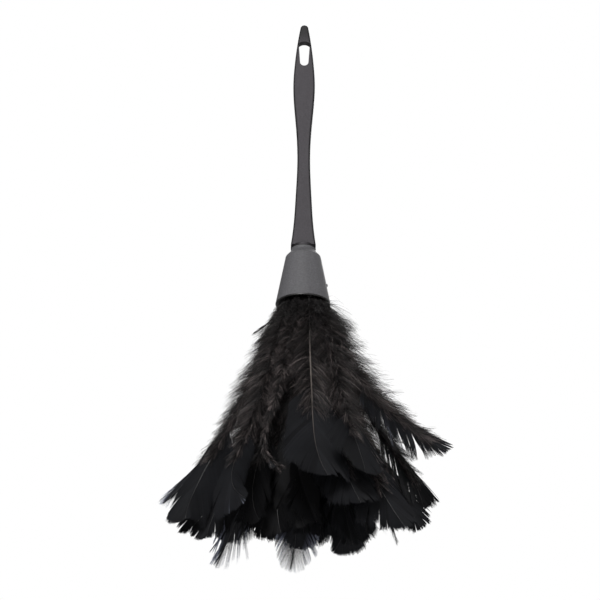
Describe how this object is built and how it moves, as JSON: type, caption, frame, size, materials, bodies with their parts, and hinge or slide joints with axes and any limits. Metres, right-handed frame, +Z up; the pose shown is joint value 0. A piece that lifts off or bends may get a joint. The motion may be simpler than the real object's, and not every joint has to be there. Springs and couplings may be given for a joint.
{
  "type": "feather duster",
  "caption": "Hand feather duster: flat moulded handle with a hanging hole, a conical ferrule, and tiers of black feathers bound round a stem in a drooping bell.",
  "frame": {"origin": "top of the hanging hole in the handle, where a hook bears, midway through the handle's thickness", "axes": "+Z up along the duster's axis towards the handle's tip, +X across the flat handle, +Y through the hanging hole from front to back"},
  "size_m": [0.2018, 0.1694, 0.466],
  "materials": {
    "handle_plastic": "satin charcoal moulding, fine grain",
    "ferrule_plastic": "satin mid grey moulding",
    "ring_plastic": "black",
    "pin_steel": "darkened round head",
    "glue": "hot-melt glue",
    "wire": "thin tinned wire",
    "quill": "dyed horny quill, half gloss",
    "feather": "dyed black feather: glossy vanes, brown-black down"
  },
  "bodies": {
    "root": {"handle": "handle_plastic", "ferrule": "ferrule_plastic", "mouth_ring": "ring_plastic", "ferrule_pin": "pin_steel", "glue_plug": "glue", "loose_quill": "quill", "binding_wire_outer": "wire", "binding_wire_middle": "wire", "binding_wire_inner": "wire", "binding_wire_core": "wire", "feather_outer_01": "feather", "feather_outer_02": "feather", "feather_outer_03": "feather", "feather_outer_04": "feather", "feather_outer_05": "feather", "feather_outer_06": "feather", "feather_outer_07": "feather", "feather_outer_08": "feather", "feather_outer_09": "feather", "feather_outer_10": "feather", "feather_outer_11": "feather", "feather_outer_12": "feather", "feather_middle_01": "feather", "feather_middle_02": "feather", "feather_middle_03": "feather", "feather_middle_04": "feather", "feather_middle_05": "feather", "feather_middle_06": "feather", "feather_middle_07": "feather", "feather_middle_08": "feather", "feather_middle_09": "feather", "feather_middle_10": "feather", "feather_middle_11": "feather", "feather_middle_12": "feather", "feather_inner_01": "feather", "feather_inner_02": "feather", "feather_inner_03": "feather", "feather_inner_04": "feather", "feather_inner_05": "feather", "feather_inner_06": "feather", "feather_inner_07": "feather", "feather_inner_08": "feather", "feather_inner_09": "feather", "feather_inner_10": "feather", "feather_core_01": "feather", "feather_core_02": "feather", "feather_core_03": "feather", "feather_core_04": "feather", "feather_core_05": "feather", "feather_core_06": "feather", "feather_core_07": "feather", "feather_core_08": "feather"}
  },
  "joints": []
}
